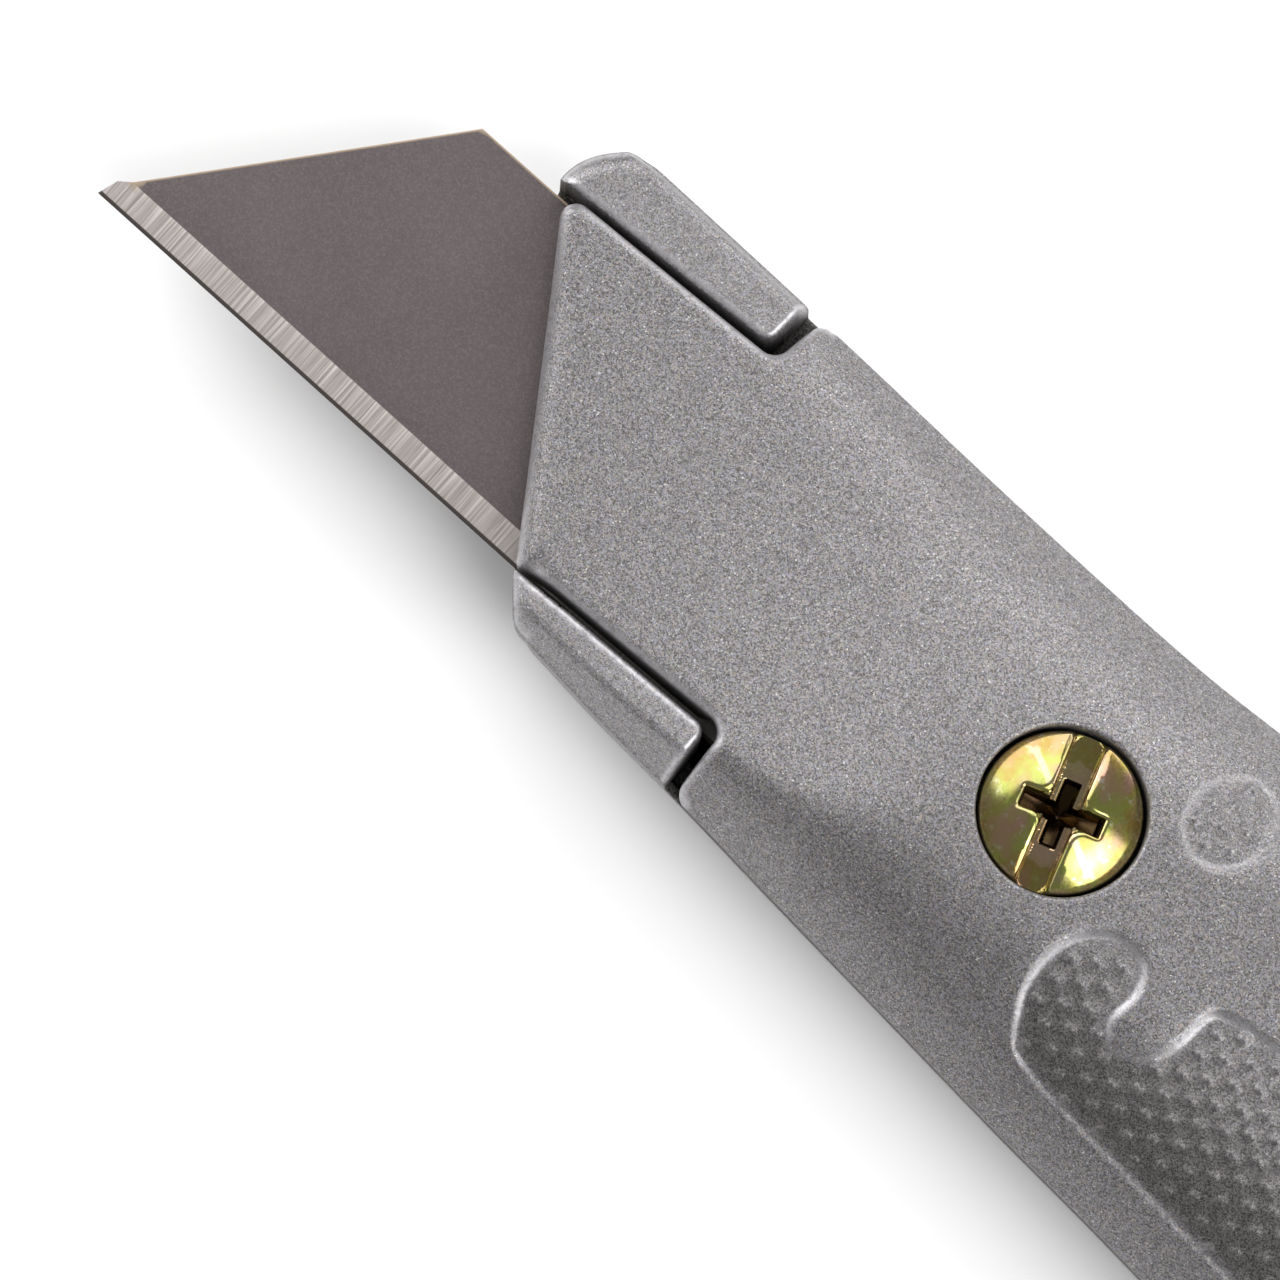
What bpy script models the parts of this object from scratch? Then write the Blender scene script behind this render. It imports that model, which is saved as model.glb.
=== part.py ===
"""Fixed-blade utility knife: two die-cast halves, one clamping screw, a working blade and five spares.

Every length is in millimetres until a mesh is finished, then in metres. Plan coordinates (u, v, w)
start at the tip of the working blade: u runs along the cutting edge to the tail, v from the cutting
edge to the spine, and w is the height above the blade's mid plane. The finished knife lies on its
rear half, centred over the origin, with the screw facing +Z and the tail towards +X.
"""

import math

import bmesh
import bpy
from mathutils import Matrix, Vector

MM = 0.001

# outline of the handle, seen from the screw side
SPINE = [(10, 24.5), (24, 24.25), (40, 23.95), (55, 23.5), (69, 23.35), (76.5, 23.7), (84, 24.3),
         (97, 25.1), (111, 25.0), (125, 23.2), (136, 19.8), (144, 16.75)]
BUTT_CENTRE = (143.2, 2.3)
BUTT_RADIUS = 13.3
BUTT_ARC = (60, -94)
BELLY = [(136, -10.55), (128, -9.9), (112, -8.35), (92, -6.65), (80, -5.95), (70, -5.25),
         (62, -4.7), (52, -3.95), (45, -3.55), (38, -2.95), (24, -1.9), (10, -0.9)]

# each half stands on the parting plane; a pair is (distance in from the outline, height)
PARTING_GAP = 0.3
CROWN = [(0, 1.2), (1.4, 3.6), (2.9, 5.4), (4.9, 6.9), (6.9, 7.8), (8.9, 8.2)]
HOLLOW = [(2.1, 1.0), (3.2, 2.6), (4.4, 4.0), (6.0, 5.2), (7.6, 6.0), (9.2, 6.35)]
HOLLOW_START = 50
HALF_THICKNESS = PARTING_GAP / 2 + CROWN[-1][1]

# the nose is thinned by a shallow scoop whose lowest line is near the nose
SCOOP_RADIUS = 164
SCOOP_U = 24.5
SCOOP_HEIGHT = 3.7
SCOOP_ROOF = 2.0
LUG_DROP = 0.4

# nose of the rear half, with the ends of its two lugs
REAR_NOSE = [(41, -6), (37.6, -2.9), (35.1, -0.15), (21.05, 19.2), (20.8, 20.4), (21.0, 21.5),
             (21.9, 22.9), (23.0, 23.9), (24.6, 24.6), (26, 30)]
UPPER_LUG = [((18, 19.6), 0), ((37.5, 20.6), 0.8), ((37.9, 30), 0), ((18, 30), 0)]
LOWER_LUG = [((32, -0.4), 0), ((51.1, -0.4), 1.0), ((51.2, -12), 0), ((32, -12), 0)]

# what the front half leaves open: the blade, and both lugs of the rear half
FRONT_OPENING = [((0, -12), 0), ((51.9, -12), 0), ((51.8, 0.9), 1.2), ((40, 0.2), 0),
                 ((35.45, 0.0), 0.3), ((21.6, 19.15), 1.5), ((39.0, 20.0), 1.1), ((39.2, 30), 0),
                 ((0, 30), 0)]

# trapezoid blade
BLADE_LENGTH = 62.0
BLADE_HEIGHT = 19.05
BLADE_THICKNESS = 0.65
BLADE_SLANT = 15.0
BLADE_GRIND = 1.9
EDGE_THICKNESS = 0.06
NOTCH_OFFSET = 4.75
NOTCH_WIDTH = 2.9
NOTCH_DEPTH = 2.9
POCKET_CLEARANCE = 0.35
POCKET_DEPTH = 0.625
PIN_RADIUS = 1.0
PIN_BELOW_SPINE = 1.3

# M5 clamping screw with a combined slot and cross recess
SCREW_AT = (70.1, 10.35)
THREAD_RADIUS = 2.5
HEAD_RADIUS = 4.75
HEAD_UNDERSIDE = 4.8
HEAD_RIM = 7.1
HEAD_TOP = 8.1
SCREW_END = -5.5
SLOT_WIDTH = 1.8
SLOT_DEPTH = 1.7
SLOT_ANGLE = math.radians(109)
CROSS_SPAN = 5.0
CROSS_WIDTH = 1.3
CROSS_DEPTH = 2.5
BORE_RADIUS = 2.8
BORE_END = -6.6
SINK_RADIUS = 5.2
SINK_FLOOR = 4.5
FRONT_BOSS = (7.2, 2.5)
FRONT_TUBE = (4.8, PARTING_GAP / 2)
REAR_BOSS = (5.0, -PARTING_GAP / 2)

# spare blades, stacked in the rear half
SPARE_COUNT = 5
SPARE_CENTRE = (113.0, 7.6)
SPARE_ANGLE = math.radians(-5)
SPARE_LOWEST = -4.975
SPARE_PITCH = 0.95
SPARE_PIN_TOP = -0.5
RIB_TOP = -5.6
RIB_WIDTH = 1.4
RIB_AT = [(-22, -6), (-8, 0), (8, 0), (22, -6)]
RIB_LENGTH = 13

# peg that lines up the two halves at the tail
PEG_AT = (149.0, 4.0)
PEG_RADIUS = 1.5
PEG_BOTTOM = -3.0
PEG_TOP = 2.2
SOCKET_RADIUS = 1.85
SOCKET_DEPTH = 3.0
PEG_BOSS_RADIUS = 3.3

FAR = 40


def clear_scene():
    for obj in list(bpy.data.objects):
        bpy.data.objects.remove(obj, do_unlink=True)


def new_collection(name):
    group = bpy.data.collections.new(name)
    bpy.context.scene.collection.children.link(group)
    return group


def new_material(name, colour, metallic, roughness):
    mat = bpy.data.materials.new(name)
    mat.use_nodes = True
    shader = mat.node_tree.nodes["Principled BSDF"]
    shader.inputs["Base Color"].default_value = (*colour, 1)
    shader.inputs["Metallic"].default_value = metallic
    shader.inputs["Roughness"].default_value = roughness
    mat.diffuse_color = (*colour, 1)
    return mat


def spline(points, steps=3):
    """Points on a smooth curve through the given ones."""
    out = []
    padded = [points[0], *points, points[-1]]
    for before, start, end, after in zip(padded, padded[1:], padded[2:], padded[3:]):
        for k in range(steps):
            t = k / steps
            out.append(tuple(
                0.5 * (2 * s + (e - b) * t + (2 * b - 5 * s + 4 * e - a) * t * t
                       + (3 * s - b - 3 * e + a) * t ** 3)
                for b, s, e, a in zip(before, start, end, after)))
    out.append(points[-1])
    return out


def arc(centre, radius, start, end, steps):
    angles = [math.radians(start + (end - start) * k / steps) for k in range(steps + 1)]
    return [(centre[0] + radius * math.cos(a), centre[1] + radius * math.sin(a)) for a in angles]


def rounded(corners, steps=4):
    """A polygon with each corner ((u, v), radius) rounded by its radius."""
    out = []
    count = len(corners)
    for k, (point, radius) in enumerate(corners):
        here = Vector(point)
        if radius == 0:
            out.append(tuple(here))
            continue
        back = (Vector(corners[k - 1][0]) - here).normalized()
        ahead = (Vector(corners[(k + 1) % count][0]) - here).normalized()
        half = back.angle(ahead) / 2
        middle = here + (back + ahead).normalized() * radius / math.sin(half)
        start = here + back * radius / math.tan(half) - middle
        end = here + ahead * radius / math.tan(half) - middle
        for s in range(steps + 1):
            t = s / steps
            arm = start.lerp(end, t).normalized() * radius
            out.append(tuple(middle + arm))
    return out


BUTT = arc(BUTT_CENTRE, BUTT_RADIUS, *BUTT_ARC, 6)
OUTLINE = [SPINE[0], *spline(SPINE[1:] + BUTT + BELLY[:-1]), BELLY[-1]]
MIDDLE_U = max(u for u, v in OUTLINE) / 2
MIDDLE_V = (max(v for u, v in OUTLINE) + min(v for u, v in OUTLINE)) / 2
TO_ROW = Vector((-MIDDLE_U, -MIDDLE_V, HALF_THICKNESS))


def finish(bm, name, group, origin=(0, 0, 0), mat=None):
    """Turn a mesh in plan millimetres into an object in metres whose origin is at `origin`."""
    bmesh.ops.recalc_face_normals(bm, faces=bm.faces)
    bmesh.ops.translate(bm, verts=bm.verts, vec=-Vector(origin))
    bmesh.ops.scale(bm, verts=bm.verts, vec=(MM, MM, MM))
    mesh = bpy.data.meshes.new(name)
    bm.to_mesh(mesh)
    bm.free()
    obj = bpy.data.objects.new(name, mesh)
    obj.location = (TO_ROW + Vector(origin)) * MM
    group.objects.link(obj)
    if mat:
        mesh.materials.append(mat)
    else:
        obj.hide_render = True
        obj.display_type = "WIRE"
    return obj


def raised(bm, face, step):
    """Extrude a face by a step and return the far cap."""
    made = bmesh.ops.extrude_face_region(bm, geom=[face])["geom"]
    bmesh.ops.translate(bm, verts=[g for g in made if isinstance(g, bmesh.types.BMVert)], vec=step)
    return next(g for g in made if isinstance(g, bmesh.types.BMFace))


def extruded(loop, step):
    """A closed body from a loop of points moved by a step."""
    bm = bmesh.new()
    raised(bm, bm.faces.new([bm.verts.new(point) for point in loop]), step)
    return bm


def prism(outline, bottom, top):
    return extruded([(u, v, bottom) for u, v in outline], (0, 0, top - bottom))


def disc(centre, radius, bottom, top, steps=32):
    return prism(arc(centre, radius, 0, 360, steps)[:-1], bottom, top)


def inset(outline, distance):
    """The outline moved inwards by a distance."""
    out = []
    count = len(outline)
    for k, point in enumerate(outline):
        here = Vector(point)
        before = (here - Vector(outline[k - 1])).normalized()
        after = (Vector(outline[(k + 1) % count]) - here).normalized()
        normals = [Vector((d.y, -d.x)) for d in (before, after)]
        out.append(here + (normals[0] + normals[1]) * distance / (1 + normals[0].dot(normals[1])))
    return out


def levels(profile, side):
    """The (inset, w) pairs of a profile that stands on one side of the parting plane."""
    return [(reach, side * (height + PARTING_GAP / 2)) for reach, height in profile]


def crowned(steps):
    """A body with the handle's outline, drawn in by each step's inset at its height."""
    bm = bmesh.new()
    rings = [[bm.verts.new((u, v, w)) for u, v in inset(OUTLINE, reach)] for reach, w in steps]
    for lower, upper in zip(rings, rings[1:]):
        for k in range(len(OUTLINE)):
            bm.faces.new((lower[k - 1], lower[k], upper[k], upper[k - 1]))
    bm.faces.new(rings[0])
    bm.faces.new(rings[-1])
    return bm


def scoop(side, lowest):
    """The block above the scooped nose, from its curved underside up."""
    loop = []
    for k in range(19):
        u = -12 + k * 5
        rise = SCOOP_RADIUS - math.sqrt(SCOOP_RADIUS ** 2 - (u - SCOOP_U) ** 2)
        loop.append((u, -FAR, side * (lowest + rise)))
    loop += [(u, -FAR, side * FAR) for u in (loop[-1][0], loop[0][0])]
    return extruded(loop, (0, 2 * FAR, 0))


def boolean(obj, cutter, operation="DIFFERENCE"):
    mod = obj.modifiers.new(operation.title() + "." + cutter.name, "BOOLEAN")
    mod.operation = operation
    mod.solver = "EXACT"
    mod.object = cutter


def blade_outline(clearance=0.0, notches=True):
    """The trapezoid, with its notches, or the plain trapezoid grown by a clearance."""
    c = clearance
    lean = BLADE_SLANT / BLADE_HEIGHT
    grow = c * (math.hypot(1, lean) + lean)
    loop = [(-grow, -c), (BLADE_LENGTH + grow, -c)]
    shrink = c * (math.hypot(1, lean) - lean)
    loop.append((BLADE_LENGTH - BLADE_SLANT + shrink, BLADE_HEIGHT + c))
    if notches:
        floor = BLADE_HEIGHT - NOTCH_DEPTH + NOTCH_WIDTH / 2
        for offset in (NOTCH_OFFSET, -NOTCH_OFFSET):
            centre = (BLADE_LENGTH / 2 + offset, floor)
            loop.append((centre[0] + NOTCH_WIDTH / 2, BLADE_HEIGHT))
            loop += arc(centre, NOTCH_WIDTH / 2, 0, -180, 8)
            loop.append((centre[0] - NOTCH_WIDTH / 2, BLADE_HEIGHT))
    loop.append((BLADE_SLANT - shrink, BLADE_HEIGHT + c))
    return loop


def add_blade(name, group, mat, centre, angle, height):
    """One ground blade whose middle is at `centre`, turned in the plan by `angle`."""
    bm = prism(blade_outline(), -BLADE_THICKNESS / 2, BLADE_THICKNESS / 2)
    everything = bm.verts[:] + bm.edges[:] + bm.faces[:]
    bmesh.ops.bisect_plane(bm, geom=everything, plane_co=(0, BLADE_GRIND, 0), plane_no=(0, 1, 0))
    for vert in bm.verts:
        if vert.co.y < 0.01:
            vert.co.z *= EDGE_THICKNESS / BLADE_THICKNESS
    middle = Matrix.Translation((-BLADE_LENGTH / 2, -BLADE_HEIGHT / 2, 0))
    place = Matrix.Translation((*centre, height)) @ Matrix.Rotation(angle, 4, "Z") @ middle
    bmesh.ops.transform(bm, matrix=place, verts=bm.verts)
    return finish(bm, name, group, (*centre, height), mat)


def pin_places(centre, angle):
    """Where the two notches of a blade at `centre` are held."""
    out = []
    for offset in (-NOTCH_OFFSET, NOTCH_OFFSET):
        arm = Vector((offset, BLADE_HEIGHT / 2 - PIN_BELOW_SPINE))
        arm.rotate(Matrix.Rotation(angle, 2))
        out.append(tuple(Vector(centre) + arm))
    return out


def hollow(side, cutters, name, keep):
    """The cutter for the inside of one half; each body in `keep` stays solid."""
    steps = [(HOLLOW[0][0], -3 * side), *levels(HOLLOW, side)]
    body = finish(crowned(steps), name, cutters)
    nose = prism([(-FAR, -FAR), (HOLLOW_START, -FAR), (HOLLOW_START, FAR), (-FAR, FAR)], -FAR, FAR)
    boolean(body, finish(nose, name + "_nose", cutters))
    boolean(body, finish(scoop(side, SCOOP_HEIGHT - SCOOP_ROOF), name + "_roof", cutters))
    for k, bm in enumerate(keep):
        boolean(body, finish(bm, f"{name}_keep_{k + 1}", cutters))
    return body


def blade_pocket(cutters):
    bm = prism(blade_outline(POCKET_CLEARANCE, notches=False), -POCKET_DEPTH, POCKET_DEPTH)
    return finish(bm, "blade_pocket", cutters)


def spare_ribs():
    """Two posts for the notches of the spare blades and four ribs under them."""
    out = [disc(at, PIN_RADIUS, -FAR, SPARE_PIN_TOP, 16)
           for at in pin_places(SPARE_CENTRE, SPARE_ANGLE)]
    turn = Matrix.Rotation(SPARE_ANGLE, 2)
    for u, v in RIB_AT:
        loop = []
        for du, dv in ((-1, -1), (1, -1), (1, 1), (-1, 1)):
            corner = Vector((u + du * RIB_WIDTH / 2, v + dv * RIB_LENGTH / 2))
            corner.rotate(turn)
            loop.append(tuple(Vector(SPARE_CENTRE) + corner))
        out.append(prism(loop, -FAR, RIB_TOP))
    return out


def front_space(cutters):
    """Everything above the parting plane except where the two lugs stand."""
    space = [(-FAR, -FAR), (5 * FAR, -FAR), (5 * FAR, FAR), (-FAR, FAR)]
    body = finish(prism(space, -PARTING_GAP / 2, FAR), "front_space", cutters)
    for name, corners in (("upper_lug", UPPER_LUG), ("lower_lug", LOWER_LUG)):
        boolean(body, finish(prism(rounded(corners), -FAR, FAR + 1), name, cutters))
    return body


def add_rear_shell(group, cutters, mat):
    steps = levels(CROWN[::-1], -1) + levels(CROWN, 1)
    shell = finish(crowned(steps), "rear_shell", group, mat=mat)
    boolean(shell, front_space(cutters))
    boolean(shell, finish(scoop(-1, SCOOP_HEIGHT), "rear_scoop", cutters))
    boolean(shell, finish(scoop(1, SCOOP_HEIGHT - LUG_DROP), "lug_scoop", cutters))
    keep = [disc(SCREW_AT, REAR_BOSS[0], -FAR, REAR_BOSS[1]),
            disc(PEG_AT, PEG_BOSS_RADIUS, -FAR, -PARTING_GAP / 2), *spare_ribs()]
    boolean(shell, hollow(-1, cutters, "rear_hollow", keep))
    boolean(shell, bpy.data.objects["blade_pocket"])
    boolean(shell, finish(disc(SCREW_AT, BORE_RADIUS, BORE_END, FAR), "rear_bore", cutters))
    centre = (BLADE_LENGTH / 2, BLADE_HEIGHT / 2)
    for k, at in enumerate(pin_places(centre, 0)):
        pin = disc(at, PIN_RADIUS, -1.5, BLADE_THICKNESS / 2, 16)
        boolean(shell, finish(pin, f"blade_pin_{k + 1}", cutters), "UNION")
    peg = disc(PEG_AT, PEG_RADIUS, PEG_BOTTOM, PEG_TOP, 20)
    boolean(shell, finish(peg, "tail_peg", cutters), "UNION")
    nose = [(-FAR, -FAR), (41, -FAR), *REAR_NOSE, (26, FAR), (-FAR, FAR)]
    boolean(shell, finish(prism(nose, -FAR - 1, FAR + 1), "rear_nose", cutters))
    return shell


def add_front_shell(group, cutters, mat):
    steps = [(0, PARTING_GAP / 2), *levels(CROWN, 1)]
    shell = finish(crowned(steps), "front_shell", group, mat=mat)
    boolean(shell, finish(scoop(1, SCOOP_HEIGHT), "front_scoop", cutters))
    keep = [disc(SCREW_AT, FRONT_BOSS[0], FRONT_BOSS[1], FAR),
            disc(SCREW_AT, FRONT_TUBE[0], FRONT_TUBE[1], FAR),
            disc(PEG_AT, PEG_BOSS_RADIUS, PARTING_GAP / 2, FAR)]
    boolean(shell, hollow(1, cutters, "front_hollow", keep))
    boolean(shell, bpy.data.objects["blade_pocket"])
    boolean(shell, finish(disc(SCREW_AT, SINK_RADIUS, SINK_FLOOR, FAR, 48), "screw_sink", cutters))
    boolean(shell, finish(disc(SCREW_AT, BORE_RADIUS, -FAR, SINK_FLOOR + 1), "front_bore", cutters))
    socket = disc(PEG_AT, SOCKET_RADIUS, -FAR, SOCKET_DEPTH, 20)
    boolean(shell, finish(socket, "peg_socket", cutters))
    boolean(shell, finish(prism(rounded(FRONT_OPENING), -FAR, FAR), "front_opening", cutters))
    return shell


def head_profile():
    """Half the section of the screw, from the top of the head down to the end of the thread."""
    dome = HEAD_TOP - HEAD_RIM
    radius = (HEAD_RADIUS ** 2 + dome ** 2) / (2 * dome)
    out = []
    for k in range(7):
        r = HEAD_RADIUS * k / 6
        out.append((r, HEAD_TOP - radius + math.sqrt(radius ** 2 - r ** 2)))
    out += [(HEAD_RADIUS, HEAD_UNDERSIDE), (THREAD_RADIUS, HEAD_UNDERSIDE),
            (THREAD_RADIUS, SCREW_END + 0.6), (THREAD_RADIUS - 0.6, SCREW_END), (0, SCREW_END)]
    return out


def turned(profile, steps=32):
    """A closed body of revolution about the w axis through the screw's place."""
    bm = bmesh.new()
    verts = [bm.verts.new((SCREW_AT[0] + r, SCREW_AT[1], w)) for r, w in profile]
    edges = [bm.edges.new(pair) for pair in zip(verts, verts[1:])]
    bmesh.ops.spin(bm, geom=verts + edges, cent=(*SCREW_AT, 0), axis=(0, 0, 1),
                   angle=2 * math.pi, steps=steps, use_merge=True)
    bmesh.ops.remove_doubles(bm, verts=bm.verts, dist=0.001)
    return bm


def turned_bar(length, width, depth):
    """A bar across the screw head, along the slot."""
    along = Vector((math.cos(SLOT_ANGLE), math.sin(SLOT_ANGLE)))
    across = Vector((-along.y, along.x))
    loop = []
    for a, b in ((-1, -1), (1, -1), (1, 1), (-1, 1)):
        loop.append(tuple(Vector(SCREW_AT) + along * a * length / 2 + across * b * width / 2))
    return prism(loop, HEAD_TOP - depth, FAR)


def add_screw(group, cutters, mat):
    screw = finish(turned(head_profile()), "clamp_screw", group, (*SCREW_AT, 0), mat)
    bars = [(3 * HEAD_RADIUS, SLOT_WIDTH, SLOT_DEPTH), (CROSS_SPAN, CROSS_WIDTH, CROSS_DEPTH),
            (CROSS_WIDTH, CROSS_SPAN, CROSS_DEPTH)]
    for k, bar in enumerate(bars):
        boolean(screw, finish(turned_bar(*bar), f"screw_recess_{k + 1}", cutters))
    return screw


def main():
    clear_scene()
    knife = new_collection("utility_knife")
    cutters = new_collection("cutters")
    casting = new_material("cast_metal_paint", (0.36, 0.36, 0.37), 0.3, 0.45)
    steel = new_material("blade_steel", (0.33, 0.31, 0.31), 0.9, 0.4)
    zinc = new_material("yellow_zinc_plate", (0.62, 0.5, 0.24), 0.9, 0.3)
    blade_pocket(cutters)
    add_rear_shell(knife, cutters, casting)
    add_front_shell(knife, cutters, casting)
    add_screw(knife, cutters, zinc)
    add_blade("working_blade", knife, steel, (BLADE_LENGTH / 2, BLADE_HEIGHT / 2), 0, 0)
    for k in range(SPARE_COUNT):
        height = SPARE_LOWEST + k * SPARE_PITCH
        add_blade(f"spare_blade_{k + 1}", knife, steel, SPARE_CENTRE, SPARE_ANGLE, height)


main()
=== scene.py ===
"""Fine surfaces, finishes, light and camera for the fixed-blade utility knife.

Shapes are drawn in plan millimetres (u, v, w) that start at the tip of the working blade: u runs
along the cutting edge to the tail, v from the cutting edge to the spine, and w up from the
blade's mid plane. The plan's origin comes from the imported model's working blade.
"""

import math

import bmesh
import bpy
import numpy as np
from mathutils import Matrix, Vector, geometry
from mathutils.kdtree import KDTree


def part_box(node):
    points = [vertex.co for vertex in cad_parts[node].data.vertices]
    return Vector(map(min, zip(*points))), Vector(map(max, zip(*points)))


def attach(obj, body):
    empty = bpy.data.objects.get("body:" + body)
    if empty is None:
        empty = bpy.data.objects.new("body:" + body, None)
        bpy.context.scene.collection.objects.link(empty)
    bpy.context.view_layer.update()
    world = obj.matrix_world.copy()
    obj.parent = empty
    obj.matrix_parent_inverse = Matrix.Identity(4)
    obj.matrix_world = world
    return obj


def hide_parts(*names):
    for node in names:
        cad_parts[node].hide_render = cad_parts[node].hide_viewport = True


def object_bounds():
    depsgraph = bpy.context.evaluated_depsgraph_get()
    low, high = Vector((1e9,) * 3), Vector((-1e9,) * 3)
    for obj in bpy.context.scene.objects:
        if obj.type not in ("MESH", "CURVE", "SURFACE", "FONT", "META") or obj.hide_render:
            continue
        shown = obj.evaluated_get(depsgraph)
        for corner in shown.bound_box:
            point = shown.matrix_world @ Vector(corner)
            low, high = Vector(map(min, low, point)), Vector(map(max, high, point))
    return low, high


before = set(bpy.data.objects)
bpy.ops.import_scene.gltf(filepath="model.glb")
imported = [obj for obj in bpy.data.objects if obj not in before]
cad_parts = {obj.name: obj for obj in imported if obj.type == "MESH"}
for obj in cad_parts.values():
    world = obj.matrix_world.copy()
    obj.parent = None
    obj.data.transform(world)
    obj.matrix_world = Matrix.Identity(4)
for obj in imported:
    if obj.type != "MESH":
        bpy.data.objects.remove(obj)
cad_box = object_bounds()

MM = 0.001

# outline of the handle, seen from the screw side
SPINE = [(10, 24.5), (24, 24.25), (40, 23.95), (55, 23.5), (69, 23.35), (76.5, 23.7), (84, 24.3),
         (97, 25.1), (111, 25.0), (125, 23.2), (136, 19.8), (144, 16.75)]
BUTT_CENTRE = (143.2, 2.3)
BUTT_RADIUS = 13.3
BUTT_ARC = (60, -94)
BELLY = [(136, -10.55), (128, -9.9), (112, -8.35), (92, -6.65), (80, -5.95), (70, -5.25),
         (62, -4.7), (52, -3.95), (45, -3.55), (38, -2.95), (24, -1.9), (10, -0.9)]

# outer surface of each half
HALF_THICKNESS = 8.35
PARTING = 0.05
BAND_TOP = 1.35
CROWN_POWER = 2.4
BELLY_REACH = (8.5, 12.5)
SPINE_REACH = (14.0, 9.5)
# where along u each reach starts to change, and over what length
BELLY_CHANGE = (55, 24)
SPINE_CHANGE = (62, 32)
SCOOP_RADIUS = 164
SCOOP_U = 24.5
SCOOP_HEIGHT = 3.7
SCOOP_BLEND = (0.8, 1.6)
SLANT_FILLET = 1.7
NOTCH_FILLET = 0.6
TIP_FILLET = 0.9
PARTING_CHAMFER = 0.13
CORNER_RADIUS = 0.9

# openings and noses: what the front half leaves open, and where the rear half ends
FRONT_OPENING = [((51.8, 0.76), 1.2), ((38, 0.35), 0), ((35.3, 0.0), 0.3),
                 ((21.76, 19.18), 0.95), ((38.75, 19.82), 1.1)]
FRONT_ENDS = (38.95, 51.9)
REAR_ENDS = (25.0, 39.4)
NOSE_BELOW = [(38.7, -2.93), (38.0, -2.88), (37.45, -2.62), (36.9, -2.05), (36.1, -1.15),
              (35.35, -0.3)]
NOSE_ABOVE = [(21.2, 18.9), (21.1, 19.75), (21.15, 20.6), (21.4, 21.45), (21.95, 22.45),
              (22.75, 23.4), (23.4, 24.0), (24.1, 24.23)]
LUG_TIPS = (38.0, 51.2)
UPPER_LUG = [((18, 19.4), 0), ((37.7, 20.35), 0.9), ((LUG_TIPS[0], 30), 0), ((18, 30), 0)]
LOWER_LUG = [((32, -0.5), 0), ((40, -0.15), 0), ((51.0, 0.07), 0.9), ((LUG_TIPS[1], -12), 0),
             ((32, -12), 0)]
LUG_DROP = 0.4
LUG_REACH = (6.4, 5.2)
LUG_FILLET = (0.4, 0.8)
LUG_ENDS = (50.4, 37.2)
NOSE_FILLET = (0.9, 1.4)
LUG_WALL = 0.06
MOATS = [[(37.4, 20.0), (39.3, 20.0), (39.3, 25.0), (37.4, 25.0)],
         [(50.6, -3.2), (52.2, -3.2), (52.2, 0.6), (50.6, 0.6)]]
MOAT_DEPTH = 1.1

# hollow inside of each half
HOLLOW_EDGE = 2.1
HOLLOW_REACH = 7.1
HOLLOW_RISE = 1.0
HOLLOW_DEPTH = 6.35
HOLLOW_POWER = 2.2
HOLLOW_START = 50
ROOF = 2.0
WALL = 0.3

# grip pads: shallow panels with rows of pebbles
LOWER_PAD = [(76.2, -0.4), (75.4, 1.2), (75.15, 3.4), (75.85, 5.6), (77.6, 7.0), (79.8, 6.75),
             (80.65, 5.1), (80.6, 3.1), (81.7, 1.9), (83.5, 2.7), (84.35, 4.6), (84.55, 6.9),
             (85.6, 7.9), (88.5, 8.35), (94, 8.9), (103, 8.4), (113, 7.0), (124, 4.6),
             (132, 1.6), (136.5, -2.2), (136.8, -5.4), (133.5, -6.9), (126, -6.3), (112, -4.9),
             (98, -3.75), (88, -3.05), (80.8, -2.6), (77.6, -1.95)]
UPPER_PAD = [(87.5, 17.4), (89.2, 14.9), (93, 13.7), (102, 13.5), (113, 13.0), (124, 11.8),
             (131.5, 10.6), (135.5, 11.3), (136, 13.4), (132.5, 15.7), (124, 18.4),
             (112, 20.6), (100, 21.0), (91.5, 20.4), (88.2, 19.3)]
OVAL_PAD = [(78.0, 13.45), (80.0, 14.6), (80.75, 16.9), (80.0, 19.1), (78.1, 20.0),
            (76.1, 18.9), (75.25, 16.6), (76.0, 14.4)]
PAD_DEPTHS = (0.42, 0.42, 0.22)
PAD_SLOPE = 0.75
PAD_FADE = ((82.5, 2.0), 3.0, 2.6)
PEBBLE_START = (76.35, 4.25)
PEBBLE_STEPS = ((1.34, 0.8), (1.34, -0.8))
PEBBLE_RADIUS = 0.54
PEBBLE_HEIGHT = 0.31
PEBBLE_MARGIN = 0.45

# painted highlights and painted shade, and a light rim on the blades: reaches in millimetres,
# strengths from 0 to 1
EDGE_HIGHLIGHT = 0.65
BORDER_HIGHLIGHT = 0.75
BORDER_BAND = (0.15, 0.33)
BELLY_SHARE = 0.2
BELLY_SIDE = -3
BLADE_OUTLINE_RIM = 0.16
LUG_HIGHLIGHT = 0.12
PEBBLE_HIGHLIGHT = 0.4
PAD_SHADE = (0.9, 0.4)
SHADED_FROM = 36.0

# trapezoid blades
BLADE_LENGTH = 62.0
BLADE_HEIGHT = 19.05
BLADE_THICKNESS = 0.65
BLADE_SLANT = 15.0
BLADE_GRIND = 1.9
MICRO_GRIND = 0.25
MICRO_HALF = 0.075
EDGE_HALF = 0.012
NOTCH_OFFSET = 4.75
NOTCH_WIDTH = 2.9
NOTCH_DEPTH = 2.9
POCKET_CLEARANCE = 0.3
POCKET_DEPTH = 0.4
PIN_RADIUS = 1.0
PIN_BELOW_SPINE = 1.3
PIN_TOP = 0.3

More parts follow.
